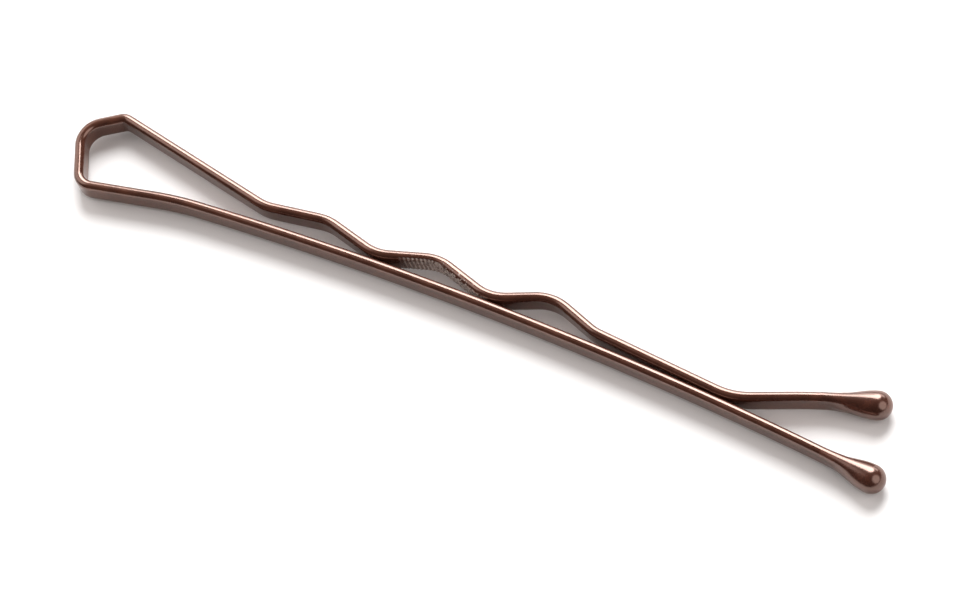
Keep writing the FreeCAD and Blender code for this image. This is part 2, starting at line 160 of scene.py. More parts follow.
split_point = touch_point(bow, split_heading)
chin = Bend(
    split_point.x + CHIN_RADIUS * math.sin(split_heading),
    split_point.y - CHIN_RADIUS * math.cos(split_heading),
    CHIN_RADIUS,
    RIGHT,
)
corner_x = HEAD_BACK + CORNER_INSET + WIRE_THICKNESS / 2 + CORNER_RADIUS
chin_start = touch_point(chin, CHIN_HEADING)
corner_end = along_run(chin_start, CHIN_HEADING, corner_x + CORNER_RADIUS * math.sin(CHIN_HEADING))
corner = Bend(corner_x, corner_end.y + CORNER_RADIUS * math.cos(CHIN_HEADING), CORNER_RADIUS, LEFT)
shoulder = Bend(
    HEAD_BACK + WIRE_THICKNESS / 2 + SHOULDER_RADIUS,
    BOW_TOP_Y + SHOULDER_HEIGHT,
    SHOULDER_RADIUS,
    RIGHT,
)
peak = Bend(
    HEAD_BACK + PEAK_FROM_BACK,
    BOW_TOP_Y + PEAK_HEIGHT - WIRE_THICKNESS / 2 - PEAK_RADIUS,
    PEAK_RADIUS,
    RIGHT,
)
print(f"head: peak {(peak.y - corner.y + PEAK_RADIUS + CORNER_RADIUS) / MM:.2f} mm above the corner")

# %% Place the crimps, the nip and the flared end
CRIMP_PITCH = 6.98 * MM
CRIMP_RADIUS = 2.7 * MM
FIRST_VALLEY = 11.95 * MM
VALLEY_GAPS = [0.65 * MM, 0.13 * MM, 0.08 * MM, 0.32 * MM]
CREST_GAPS = [0.95 * MM, 0.88 * MM, 1.12 * MM]
NIP_FROM_TIP = 10.4 * MM
NIP_GAP = 0.08 * MM
NIP_RADIUS = 4.3 * MM
FLARE_HEADING = math.radians(22)
FLARE_RADIUS = 22 * MM
CRIMPED_TIP_HEADING = math.radians(16.4)


def bend_over_leg(x, gap, radius, turn):
    """A bend whose nearest point stands clear of the straight leg by a gap."""
    reach = BOW_RADIUS + WIRE_THICKNESS + gap + turn * radius
    return Bend(x, bow.y + math.sqrt(reach**2 - x**2), radius, turn)


crimps = []
for number, gap in enumerate(VALLEY_GAPS):
    valley_x = HEAD_BACK + FIRST_VALLEY + number * CRIMP_PITCH
    crimps.append(bend_over_leg(valley_x, gap, CRIMP_RADIUS, LEFT))
    if number < len(CREST_GAPS):
        crest_x = valley_x + CRIMP_PITCH / 2
        crimps.append(bend_over_leg(crest_x, CREST_GAPS[number], CRIMP_RADIUS, RIGHT))
nip = bend_over_leg(PIN_END - NIP_FROM_TIP, NIP_GAP, NIP_RADIUS, LEFT)
crimped_tip_x = STRAIGHT_TIP_X - CRIMPED_TIP_SETBACK
flare_end_x = crimped_tip_x - BEAD_TAPER * math.cos(CRIMPED_TIP_HEADING)
flare_x = flare_end_x + FLARE_RADIUS * math.sin(CRIMPED_TIP_HEADING)
flare_start = along_run(
    touch_point(nip, FLARE_HEADING), FLARE_HEADING, flare_x - FLARE_RADIUS * math.sin(FLARE_HEADING)
)
flare = Bend(flare_x, flare_start.y - FLARE_RADIUS * math.cos(FLARE_HEADING), FLARE_RADIUS, RIGHT)
print(f"crimped leg: {len(CREST_GAPS)} crimps, flared end rises {math.degrees(FLARE_HEADING):.1f} degrees")

# %% [markdown]
# ## The wire's section
#
# The wire is round wire rolled flat, so its two narrow edges are well rounded, and the lacquer rounds them
# further, almost to half circles. A grid the size of the section gets its corners bevelled, and stands
# square to the wire where the feeding starts. A plane would have fewer points, but smooth shading would
# then bend the light across the whole wide face, as if it bulged. With the grid's points in between, the
# face stays flat. Two numbers are kept on every point, how far along the wire it is and how far to the
# side of its middle. They are what a pattern on bent wire needs, since the wire has no straight axis to
# measure along.

# %% Draw the section as a bevelled grid
FACE_SEGMENTS = 4
EDGE_SEGMENTS = 8
ALONG = "wire_along"
SIDE = "wire_side"


def across_wire(point, heading):
    """Frame of a section: X to the left of the wire, Y up across its width, Z along it."""
    left = Vector((-math.sin(heading), math.cos(heading), 0))
    ahead = Vector((math.cos(heading), math.sin(heading), 0))
    frame_here = Matrix((left, Vector((0, 0, 1)), ahead)).transposed().to_4x4()
    frame_here.translation = point
    return frame_here


def draw_section(name, point, heading, left_is):
    """A flat face with the wire's outline. left_is says which sign its left side has."""
    bpy.ops.object.select_all(action="DESELECT")
    bpy.ops.mesh.primitive_grid_add(x_subdivisions=1, y_subdivisions=FACE_SEGMENTS, size=1)
    wire = bpy.context.object
    wire.name = wire.data.name = name
    wire.scale = (WIRE_THICKNESS, WIRE_WIDTH, 1)
    bpy.ops.object.transform_apply(location=False, rotation=False, scale=True)
    bpy.ops.object.mode_set(mode="EDIT")
    bpy.ops.mesh.select_mode(type="VERT")
    bpy.ops.mesh.select_all(action="DESELECT")
    edit = bmesh.from_edit_mesh(wire.data)
    for vertex in edit.verts:
        vertex.select_set(abs(vertex.co.y) > WIRE_WIDTH / 2 - WIRE_EDGE_RADIUS)
    bpy.ops.mesh.bevel(offset=WIRE_EDGE_RADIUS, segments=EDGE_SEGMENTS, affect="VERTICES")
    bpy.ops.object.mode_set(mode="OBJECT")
    along = wire.data.attributes.new(ALONG, "FLOAT", "POINT")
    side = wire.data.attributes.new(SIDE, "FLOAT", "POINT")
    for index, vertex in enumerate(wire.data.vertices):
        along.data[index].value = 0
        side.data[index].value = left_is * vertex.co.x
    wire.matrix_world = across_wire(point, heading)
    bpy.ops.object.transform_apply()
    return wire


# %% [markdown]
# ## Feeding and bending
#
# Blender has a curve with a bevel profile for this, but a curve twists and bunches its rings in tight
# bends. Extrude and spin give rings exactly where they are wanted: extrude feeds out a straight run, and
# spin wraps the end of the wire round a bend, a few degrees at a time. The head's back is the start, and
# the wire is fed out from there both ways, as two pieces: each piece crosses one of the two places
# where the pin flexes.

# %% Feed a run with extrude, wrap a bend with spin
RUN_STEP = 0.5 * MM
BEND_STEP = math.radians(5)
SMOOTH_ANGLE = math.radians(50)


class WireFeed:
    """A wire that is being bent: where its end is, where it points and how much has been fed."""

    def __init__(self, name, point, heading, way):
        self.wire = draw_section(name, point, heading, way)
        self.point = point
        self.heading = heading
        self.way = way
        self.fed = 0
        self.rings = [0]
        bpy.ops.object.mode_set(mode="EDIT")
        bpy.ops.mesh.select_all(action="SELECT")

    def mark_ring(self, step):
        """Writes the length fed so far on the points of the newest ring."""
        self.fed += self.way * step
        self.rings.append(self.fed)
        edit = bmesh.from_edit_mesh(self.wire.data)
        along = edit.verts.layers.float[ALONG]
        for vertex in edit.verts:
            if vertex.select:
                vertex[along] = self.fed

    def run_to(self, point, step=RUN_STEP):
        """Feeds straight on to a point."""
        gap = point - self.point
        steps = math.ceil(gap.length / step)
        for _ in range(steps):
            bpy.ops.mesh.extrude_region_move(TRANSFORM_OT_translate={"value": gap / steps})
            self.mark_ring(gap.length / steps)
        self.point = point

    def wrap(self, bend, heading, step=RUN_STEP):
        """Wraps the end round a bend until it points along a heading."""
        angle = heading - self.heading
        length = abs(angle) * bend.radius
        steps = math.ceil(max(abs(angle) / BEND_STEP, length / step))
        for _ in range(steps):
            # Spin turns clockwise for a positive angle
            bpy.ops.mesh.spin(
                steps=1, angle=-angle / steps, center=(bend.x, bend.y, MIDDLE_Z), axis=(0, 0, 1)
            )
            self.mark_ring(length / steps)
        self.point = touch_point(bend, heading)
        self.heading = heading

    def finish(self):
        """Closes the piece: its faces point outwards, and its long edges shade smoothly."""
        bpy.ops.mesh.select_all(action="SELECT")
        bpy.ops.mesh.normals_make_consistent(inside=False)
        bpy.ops.object.mode_set(mode="OBJECT")
        bpy.ops.object.shade_smooth_by_angle(angle=SMOOTH_ANGLE)
        print(f"{self.wire.name}: {abs(self.fed) / MM:.2f} mm of wire, {len(self.rings)} rings")
        return self.wire


# %% Bend the crimped side: shoulder, peak, crimps, nip and flare
TOOTH_PITCH = 0.24 * MM
GRIP_CREST = 3
GRIP_VALLEY = 4

back_heading = heading_between(corner._replace(turn=RIGHT), shoulder)
seam = (touch_point(corner, back_heading + math.pi) + touch_point(shoulder, back_heading)) / 2
crimped_bends = [shoulder, peak, *crimps, nip]
crimped_headings = [heading_between(*pair) for pair in zip(crimped_bends, crimped_bends[1:])]
crimped_headings.append(FLARE_HEADING)

crimped_feed = WireFeed("wire_crimped_side", seam, back_heading, LEFT)
bend_starts = []
for bend, heading_out in zip(crimped_bends, crimped_headings):
    toothed = bend in crimps[GRIP_CREST : GRIP_VALLEY + 1]
    step = TOOTH_PITCH / 2 if toothed else RUN_STEP
    crimped_feed.run_to(touch_point(bend, crimped_feed.heading), step)
    bend_starts.append(crimped_feed.fed)
    crimped_feed.wrap(bend, heading_out, step)
crimped_feed.run_to(flare_start)
crimped_feed.wrap(flare, CRIMPED_TIP_HEADING)
crimped_tip = across_wire(crimped_feed.point, CRIMPED_TIP_HEADING) @ Vector((0, 0, BEAD_TAPER))
crimped_feed.run_to(crimped_tip)
wire_crimped_side = crimped_feed.finish()

# %% Bend the straight side: corner, chin and bow
neck_reach = math.hypot(BOW_RADIUS, BEAD_TAPER)
straight_tip_heading = math.atan2(BEAD_TAPER, BOW_RADIUS) - math.asin(STRAIGHT_TIP_X / neck_reach)

straight_feed = WireFeed("wire_straight_side", seam, back_heading - math.pi, RIGHT)
straight_feed.run_to(touch_point(corner, straight_feed.heading))
straight_feed.wrap(corner, CHIN_HEADING)
straight_feed.run_to(touch_point(chin, CHIN_HEADING))
straight_feed.wrap(chin, split_heading)
straight_feed.wrap(bow, straight_tip_heading)
straight_tip = across_wire(straight_feed.point, straight_tip_heading) @ Vector((0, 0, BEAD_TAPER))
straight_feed.run_to(straight_tip)
wire_straight_side = straight_feed.finish()

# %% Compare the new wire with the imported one
def mesh_box(piece):
    places = [vertex.co for vertex in piece.data.vertices]
    low = Vector(min(place[axis] for place in places) for axis in range(3))
    high = Vector(max(place[axis] for place in places) for axis in range(3))
    return low, high


crimped_low, crimped_high = mesh_box(wire_crimped_side)
straight_low, straight_high = mesh_box(wire_straight_side)
packed_low, packed_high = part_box("crimped_leg")
print("crimped leg ends off by, in mm:", [round(d / MM, 3) for d in crimped_high - packed_high])
packed_low, packed_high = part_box("straight_leg")
print("straight leg ends off by, in mm:", [round(d / MM, 3) for d in straight_high - packed_high])
packed_low, packed_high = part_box("head_bend")
print("head's corner off by, in mm:", [round(d / MM, 3) for d in straight_low - packed_low])
print("head's back off by, in mm:", round((crimped_low.x - packed_low.x) / MM, 3))

# %% [markdown]
# ## The grip teeth
#
# On the second crimp and down to the valley after it, the inner face of the wire has fine cross teeth,
# which stop the pin from sliding in the hair. They are only a few hundredths of a millimetre deep. The
# rings there are half a tooth apart, so sinking every second one of them along its normals makes the
# teeth, and a bump map isn't needed: the teeth are there in the mesh too. The rings that stay are the
# ridges, where the lacquer rubs off first and where light glints off the teeth. A number on their points
# says how much, for the lacquer later on, which paints them pale grey: part steel, part painted glint.

# %% Find the rings that the teeth are on
TEETH_BEFORE_CREST = 1.5 * MM
TEETH_AFTER_CREST = 1.6 * MM
SAME_RING = MM / 1000

crest_starts = bend_starts[crimped_bends.index(crimps[GRIP_CREST])]
teeth_start = crest_starts - TEETH_BEFORE_CREST
teeth_end = crest_starts + TEETH_AFTER_CREST
teeth_rings = [ring for ring in crimped_feed.rings if teeth_start < ring < teeth_end]


def tooth_ring(fed):
    """Number of the toothed ring at a length fed, or None."""
    for number, ring in enumerate(teeth_rings):
        if abs(fed - ring) < SAME_RING:
            return number
    return None


print(f"{len(teeth_rings[::2])} teeth over {(teeth_end - teeth_start) / MM:.2f} mm")

# %% Sink every second ring of the inner face
TOOTH_DEPTH = 0.03 * MM
INNER_FACE = -WIRE_THICKNESS / 2 + WIRE_EDGE_RADIUS / 3
WORN_AND_GLINT = "wire_worn_and_glint"
FULLY_WORN_AND_GLINT_AFTER = 6

# The number kept here also places a painted glint: the pale grey on the ridges is partly steel where the
# lacquer wore off, and partly light glinting off the teeth.
wire_crimped_side.data.attributes.new(WORN_AND_GLINT, "FLOAT", "POINT")
bpy.ops.object.select_all(action="DESELECT")
bpy.context.view_layer.objects.active = wire_crimped_side
wire_crimped_side.select_set(True)
bpy.ops.object.mode_set(mode="EDIT")
bpy.ops.mesh.select_all(action="DESELECT")
edit = bmesh.from_edit_mesh(wire_crimped_side.data)
along = edit.verts.layers.float[ALONG]
side = edit.verts.layers.float[SIDE]
worn_and_glint = edit.verts.layers.float[WORN_AND_GLINT]
for vertex in edit.verts:
    number = tooth_ring(vertex[along])
    toothed = number is not None and vertex[side] < INNER_FACE
    groove = toothed and number % 2 == 0
    vertex.select = groove
    if toothed and not groove:
        vertex[worn_and_glint] = min(1, number / FULLY_WORN_AND_GLINT_AFTER, (len(teeth_rings) - number) / FULLY_WORN_AND_GLINT_AFTER)
edit.select_flush(True)
bpy.ops.transform.shrink_fatten(value=-TOOTH_DEPTH)
bpy.ops.object.mode_set(mode="OBJECT")
print(f"every second ring sunk by {TOOTH_DEPTH / MM:.2f} mm")

# %% [markdown]
# ## The dipped beads
#
# A bead is lacquer that ran down to the tip and set: it clings to the flat wire first, then swells to a
# ball. So its outline changes, from the wire's flat oval to a circle. A circle is drawn round the wire
# and extruded ring by ring towards the tip, and each new ring is reshaped to the outline that a drop has
# there. Two joined spheres and a cone would show creases that lacquer doesn't have.

# %% Give the outline of a drop at any place along it
BEAD_SIDES = 48
BEAD_TAPER_RINGS = 26
BEAD_END_RINGS = 14
DROP_LENGTH = 3.0 * MM
FILM = 0.008 * MM
BEAD_ANGLE = "bead_angle"


def wire_reach(angle):
    """Distance from the middle of the wire to its lacquered surface, in a direction across it."""
    across, up = abs(math.cos(angle)), abs(math.sin(angle))
    radius = WIRE_EDGE_RADIUS + FILM
    flat = Vector((WIRE_THICKNESS / 2 + FILM, WIRE_WIDTH / 2 + FILM))
    inner = flat - Vector((radius, radius))
    if up * flat.x <= inner.y * across:
        return flat.x / across
    if across * flat.y <= inner.x * up:
        return flat.y / up
    middle = across * inner.x + up * inner.y
    return middle + math.sqrt(middle**2 - inner.length_squared + radius**2)


def drop_reach(angle, distance):
    """The same for the drop, at a distance from where it starts."""
    if distance >= DROP_LENGTH:
        return math.sqrt(max(0, BEAD_RADIUS**2 - (distance - DROP_LENGTH) ** 2))
    share = distance / DROP_LENGTH
    swelling = share * share * (3 - 2 * share)
    return wire_reach(angle) * (1 - swelling) + BEAD_RADIUS * swelling


# %% Place and shape the rings of a drop
def ring_distances():
    """Even steps along the taper, then steps that close up towards the end of the ball."""
    for step in range(1, BEAD_TAPER_RINGS + 1):
        yield DROP_LENGTH * step / BEAD_TAPER_RINGS
    for step in range(1, BEAD_END_RINGS):
        yield DROP_LENGTH + BEAD_RADIUS * math.sin(math.pi / 2 * step / BEAD_END_RINGS)


def shape_ring(bead, neck_frame, distance):
    """Moves the selected ring to the drop's outline at a distance from the neck."""
    edit = bmesh.from_edit_mesh(bead.data)
    angles = edit.verts.layers.float[BEAD_ANGLE]
    for vertex in edit.verts:
        if vertex.select:
            angle = vertex[angles]
            reach = drop_reach(angle, distance)
            place = Vector((reach * math.cos(angle), reach * math.sin(angle), distance))
            vertex.co = neck_frame @ place
    bmesh.update_edit_mesh(bead.data)


# %% Extrude a bead ring by ring
def dip_bead(name, tip, heading):
    bpy.ops.object.select_all(action="DESELECT")
    bpy.ops.mesh.primitive_circle_add(vertices=BEAD_SIDES, radius=BEAD_RADIUS, fill_type="NGON")
    bead = bpy.context.object
    bead.name = bead.data.name = name
    angles = bead.data.attributes.new(BEAD_ANGLE, "FLOAT", "POINT")
    for index, vertex in enumerate(bead.data.vertices):
        angles.data[index].value = math.atan2(vertex.co.y, vertex.co.x)
    neck_frame = across_wire(tip, heading) @ Matrix.Translation((0, 0, -DROP_LENGTH))
    bpy.ops.object.mode_set(mode="EDIT")
    bpy.ops.mesh.select_all(action="SELECT")
    shape_ring(bead, neck_frame, 0)
    for distance in ring_distances():
        bpy.ops.mesh.extrude_region_move()
        shape_ring(bead, neck_frame, distance)
    bpy.ops.mesh.extrude_region_move()
    shape_ring(bead, neck_frame, DROP_LENGTH + BEAD_RADIUS)
    bpy.ops.mesh.merge(type="CENTER")
    bpy.ops.mesh.select_all(action="SELECT")
    bpy.ops.mesh.normals_make_consistent(inside=False)
    bpy.ops.object.mode_set(mode="OBJECT")
    bpy.ops.object.shade_smooth_by_angle(angle=SMOOTH_ANGLE)
    print(f"{name}: {len(bead.data.vertices)} points")
    return bead


straight_leg_bead = dip_bead("straight_leg_bead", straight_tip, straight_tip_heading)
crimped_leg_bead = dip_bead("crimped_leg_bead", crimped_tip, CRIMPED_TIP_HEADING)

# %% [markdown]
# ## How the pieces move
#
# The pin opens by flexing at the roots of its legs. A piece of wire that crosses a flexure follows one
# body before it and the other after it, and bends smoothly over a few millimetres in between. The beads
# simply ride on their legs.

# %% Let the wire flex and the beads ride
FLEX_REACH = 3.5 * MM


def flex(piece, body_before, body_after, joint, heading):
    """Bends a piece about a flexure: it follows body_before first, and body_after further on."""
    reach = FLEX_REACH * Vector((math.cos(heading), math.sin(heading), 0))
    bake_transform(piece, body_before, body_after, start=joint_at[joint] - reach, end=joint_at[joint] + reach)


long_run_heading = crimped_headings[crimped_bends.index(peak)]
flex(wire_straight_side, "head", "straight_leg", "straight_leg_flex", split_heading)
flex(wire_crimped_side, "head", "crimped_leg", "crimped_leg_flex", long_run_heading)
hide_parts("straight_leg", "head_bend")
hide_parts("crimped_leg", "head_bend")
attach(straight_leg_bead, "straight_leg")
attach(crimped_leg_bead, "crimped_leg")
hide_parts("straight_leg_tip")
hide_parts("crimped_leg_tip")
print("the wire flexes over", 2 * FLEX_REACH / MM, "mm at each root")

# %% [markdown]
# ## Brown lacquer on drawn wire
#
# The lacquer is dark brown, glossy and thin, and the bright steel under it adds to its shine: it reflects
# more than paint on wood would, with a brown tint. A high index of refraction and a tinted sheen stand
# in for that. The lacquer is a little uneven: it is redder over the rounded edges, where it is thin, and
# fine lines from the rolling of the wire show through it. On the ridges of the teeth, and in specks
# further on, it is painted pale steel grey: partly where it wore off down to steel, partly a painted
# glint of light off the teeth. All of that follows the wire, so the patterns are laid out on the numbers
# kept on its points and on the height across its width.

# %% Helpers to add and join shader nodes
def add_node(tree, kind, name, **settings):
    node = tree.nodes.new(kind)
    node.name = node.label = name
    for setting, value in settings.items():
        setattr(node, setting, value)
    return node


def feed_socket(tree, socket, source):
    """Sets a socket to a value, or joins it to another node's output."""
    if isinstance(source, bpy.types.NodeSocket):
        tree.links.new(source, socket)
    else:
        socket.default_value = source


def maths(tree, name, operation, *sources):
    node = add_node(tree, "ShaderNodeMath", name, operation=operation)
    for socket, source in zip(node.inputs, sources):
        feed_socket(tree, socket, source)
    return node.outputs[0]


# %% Helpers for fades, noise, colours and bumps
def fade(tree, name, value, low, high):
    """0 below low and 1 above high, with a smooth passage between them."""
    node = add_node(tree, "ShaderNodeMapRange", name, interpolation_type="SMOOTHSTEP")
    for socket, source in zip(("Value", "From Min", "From Max"), (value, low, high)):
        feed_socket(tree, node.inputs[socket], source)
    return node.outputs["Result"]


def noise(tree, name, vector, scale, detail=2.0, roughness=0.5):
    node = add_node(tree, "ShaderNodeTexNoise", name)
    for socket, source in zip(
        ("Vector", "Scale", "Detail", "Roughness"), (vector, scale, detail, roughness)
    ):
        feed_socket(tree, node.inputs[socket], source)
    return node.outputs["Fac"]


def mix_colour(tree, name, share, first, second):
    """A mix of two colours. On the Mix node they are inputs 6 and 7, and the result is output 2."""
    node = add_node(tree, "ShaderNodeMix", name, data_type="RGBA")
    for socket, source in zip(
        (node.inputs["Factor"], node.inputs[6], node.inputs[7]), (share, first, second)
    ):
        feed_socket(tree, socket, source)
    return node.outputs[2]


def raise_surface(tree, name, height, strength, depth, below=None):
    node = add_node(tree, "ShaderNodeBump", name)
    feed_socket(tree, node.inputs["Height"], height)
    node.inputs["Strength"].default_value = strength
    node.inputs["Distance"].default_value = depth
    if below:
        tree.links.new(below, node.inputs["Normal"])
    return node.outputs["Normal"]


# %% Start a lacquer: its gloss is the same all over
SHEEN_TINT = (1.0, 0.72, 0.62, 1)
STEEL_BELOW_IOR = 1.95
METAL_SHARE = 0.1
COAT_SHARE = 0.1
COAT_ROUGHNESS = 0.12


def start_lacquer(name):
    material = bpy.data.materials.new(name)
    material.use_nodes = True
    shader = material.node_tree.nodes["Principled BSDF"]
    shader.inputs["Metallic"].default_value = METAL_SHARE
    shader.inputs["IOR"].default_value = STEEL_BELOW_IOR
    shader.inputs["Specular Tint"].default_value = SHEEN_TINT
    shader.inputs["Coat Weight"].default_value = COAT_SHARE
    shader.inputs["Coat Roughness"].default_value = COAT_ROUGHNESS
    return material, material.node_tree, shader


# %% Lay out the wire's own coordinates
LINE_STRETCH = 0.04
WirePlace = namedtuple("WirePlace", "along side height even stretched")


def read_number(tree, label, name):
    """The number that is kept on the points of a piece under a name."""
    return add_node(tree, "ShaderNodeAttribute", label, attribute_name=name).outputs["Fac"]


def combine(tree, label, *sources):
    node = add_node(tree, "ShaderNodeCombineXYZ", label)
    for socket, source in zip(node.inputs, sources):
        tree.links.new(source, socket)
    return node.outputs[0]


def wire_place(tree):
    """Where a point is: along the wire, to its side and across its width, even and stretched."""
    along = read_number(tree, "along the wire", ALONG)
    side = read_number(tree, "side of the wire", SIDE)
    place = add_node(tree, "ShaderNodeTexCoord", "place").outputs["Object"]
    split = add_node(tree, "ShaderNodeSeparateXYZ", "height across the wire")
    tree.links.new(place, split.inputs[0])
    height = maths(tree, "height from the middle", "SUBTRACT", split.outputs["Z"], MIDDLE_Z)
    slow = maths(tree, "slow along", "MULTIPLY", along, LINE_STRETCH)
    even = combine(tree, "place on the wire", along, side, height)
    stretched = combine(tree, "place, stretched along", slow, side, height)
    return WirePlace(along, side, height, even, stretched)


# %% Mix the brown: deeper in pools, redder over the edges
DEEP_BROWN = (0.056, 0.0185, 0.0115, 1)
BROWN = (0.088, 0.031, 0.019, 1)
EDGE_BROWN = (0.066, 0.025, 0.016, 1)
POOL_SCALE = 900
POOL_RANGE = (0.35, 0.7)
THIN_SCALE = 1600
THIN_RANGE = (0.3, 0.75)


def uneven_brown(tree, at, pooling):
    pools = fade(tree, "pools", pooling, *POOL_RANGE)
    colour = mix_colour(tree, "uneven brown", pools, DEEP_BROWN, BROWN)
    rounding = maths(tree, "how near an edge", "ABSOLUTE", at.height)
    near_edge = fade(tree, "edge", rounding, WIRE_WIDTH / 2 - WIRE_EDGE_RADIUS, WIRE_WIDTH / 2)
    thinning = noise(tree, "thinning", at.even, THIN_SCALE, detail=4)
    thin = fade(tree, "thin lacquer", thinning, *THIN_RANGE)
    thin_edge = maths(tree, "thin edge", "MULTIPLY", near_edge, thin)
    return mix_colour(tree, "warm edges", thin_edge, colour, EDGE_BROWN)


# %% Rub the lacquer off the ridges and in specks further on, with a painted glint there
SPECK_SCALE = 6500
SPECK_EDGE = 0.1
SPECK_LEVEL = 0.7
SPECK_LEVEL_DROP = 0.17
SPECKS_AFTER_TEETH_START = 0.4 * MM
SPECKS_AFTER_VALLEY = 1.0 * MM
SPECKS_FADE = 0.8 * MM
PATCH_RANGE = (0.25, 0.55)
GRIP_SIDES = (0.1 * MM, -0.1 * MM)
INNER_SIDES = (-0.2 * MM, -0.26 * MM)

specks_end = bend_starts[crimped_bends.index(crimps[GRIP_VALLEY])] + SPECKS_AFTER_VALLEY
print(f"specks end {(specks_end - teeth_end) / MM:.2f} mm after the teeth")


def wear_and_glint_share(tree, at):
    """How much pale grey there is: on the ridges, in specks after them, and none elsewhere. It is partly
    steel where the lacquer wore off, partly a painted glint.
    """
    specks = noise(tree, "specks", at.even, SPECK_SCALE, detail=4, roughness=0.6)
    begins = fade(tree, "grip begins", at.along, teeth_start + SPECKS_AFTER_TEETH_START, teeth_end)
    ends = fade(tree, "grip ends", at.along, specks_end - SPECKS_FADE, specks_end)
    grip = maths(tree, "grip", "SUBTRACT", begins, ends)
    grip = maths(tree, "grip side", "MULTIPLY", grip, fade(tree, "not outside", at.side, *GRIP_SIDES))
    inside = fade(tree, "inner face", at.side, *INNER_SIDES)
    level = maths(tree, "more specks inside", "MULTIPLY_ADD", inside, -SPECK_LEVEL_DROP, SPECK_LEVEL)
    speck_start = maths(tree, "speck start", "SUBTRACT", level, SPECK_EDGE)
    speckled = fade(tree, "speckled", specks, speck_start, level)
    wear_and_glint = maths(tree, "rubbed off", "MULTIPLY", grip, speckled)
    ridges = read_number(tree, "worn ridges", WORN_AND_GLINT)
    ridge_wear_and_glint = maths(tree, "bare ridges", "MULTIPLY", ridges, fade(tree, "patchy", specks, *PATCH_RANGE))
    return maths(tree, "bare or rubbed", "MAXIMUM", wear_and_glint, ridge_wear_and_glint)


# %% Paint the wire
# Pale grey for the ridges and specks: partly steel where the lacquer wore off, partly a painted glint of
# light off the teeth
STEEL_GREY_AND_GLINT = (0.75, 0.7, 0.65, 1)
WIRE_ROUGHNESS = 0.1
POOL_ROUGHNESS = 0.1
BARE_ROUGHNESS = 0.25
SKIN_SCALE = 3800
SKIN_STRENGTH = 0.25
SKIN_DEPTH = 0.004 * MM
LINE_SCALE = 9000
LINE_STRENGTH = 0.25
LINE_DEPTH = 0.003 * MM
SPECK_STRENGTH = 0.5
SPECK_DEPTH = 0.01 * MM


def wire_lacquer():
    material, tree, shader = start_lacquer("wire_lacquer")
    at = wire_place(tree)
    pooling = noise(tree, "pooling", at.even, POOL_SCALE, detail=3)
    brown = uneven_brown(tree, at, pooling)
    wear_and_glint = wear_and_glint_share(tree, at)
    # Mixes in the pale grey on the ridges and specks: part steel, part painted glint
    colour = mix_colour(tree, "steel specks and painted glint", wear_and_glint, brown, STEEL_GREY_AND_GLINT)
    tree.links.new(colour, shader.inputs["Base Color"])

    gloss = maths(tree, "uneven gloss", "MULTIPLY_ADD", pooling, POOL_ROUGHNESS, WIRE_ROUGHNESS)
    dulled = maths(tree, "dull specks", "MULTIPLY_ADD", wear_and_glint, BARE_ROUGHNESS, gloss)
    tree.links.new(dulled, shader.inputs["Roughness"])

    skin = noise(tree, "lacquer skin", at.even, SKIN_SCALE)
    lines = noise(tree, "rolling lines", at.stretched, LINE_SCALE)
    surface = raise_surface(tree, "skin", skin, SKIN_STRENGTH, SKIN_DEPTH)
    surface = raise_surface(tree, "lines", lines, LINE_STRENGTH, LINE_DEPTH, surface)
    surface = raise_surface(tree, "specks raised", wear_and_glint, SPECK_STRENGTH, SPECK_DEPTH, surface)
    tree.links.new(surface, shader.inputs["Normal"])
    return material


lacquer = wire_lacquer()
for piece in (wire_straight_side, wire_crimped_side):
    piece.data.materials.append(lacquer)
print("wire lacquer has", len(lacquer.node_tree.nodes), "nodes")

# %% [markdown]
# ## Thick lacquer on the beads
#
# The drops are the same lacquer, only thicker: a touch redder where light gets into them, a little softer
# in their shine, and faintly uneven from the way that it ran down. So the wire's lacquer is started again
# with other browns, and where a drop thins out to the wire, no border shows. A drop has no lines along
# it, so plain Object coordinates will do for its patterns.

# %% Paint the beads
BEAD_DEEP = (0.05, 0.0165, 0.0105, 1)
BEAD_RED = (0.085, 0.028, 0.018, 1)
BEAD_ROUGHNESS = 0.18
FLOW_ROUGHNESS = 0.08
FLOW_SCALE = 1100
FLOW_RANGE = (0.35, 0.7)
RIPPLE_SCALE = 2400
RIPPLE_STRENGTH = 0.2
RIPPLE_DEPTH = 0.006 * MM


def bead_lacquer():
    material, tree, shader = start_lacquer("bead_lacquer")
    place = add_node(tree, "ShaderNodeTexCoord", "place").outputs["Object"]
    flow = noise(tree, "flow", place, FLOW_SCALE, detail=3)
    flows = fade(tree, "flows", flow, *FLOW_RANGE)
    colour = mix_colour(tree, "uneven red", flows, BEAD_DEEP, BEAD_RED)
    tree.links.new(colour, shader.inputs["Base Color"])
    gloss = maths(tree, "gloss", "MULTIPLY_ADD", flow, FLOW_ROUGHNESS, BEAD_ROUGHNESS)
    tree.links.new(gloss, shader.inputs["Roughness"])
    skin = noise(tree, "skin", place, RIPPLE_SCALE)
    ripples = raise_surface(tree, "ripples", skin, RIPPLE_STRENGTH, RIPPLE_DEPTH)
    tree.links.new(ripples, shader.inputs["Normal"])
    return material


thick_lacquer = bead_lacquer()
for piece in (straight_leg_bead, crimped_leg_bead):
    piece.data.materials.append(thick_lacquer)
print("bead lacquer has", len(thick_lacquer.node_tree.nodes), "nodes")

# %% [markdown]
# ## The camera
#
# The camera looks down steeply from the pin's front, tilted to the side, through a long lens, so that
# near and far parts of the pin look almost equally large. Its three directions are worked out first,
# because the light is placed by them as well.

# %% Work out the camera's directions
AZIMUTH = math.radians(51.5)
ELEVATION = math.radians(60)
ROLL = math.radians(26.565)

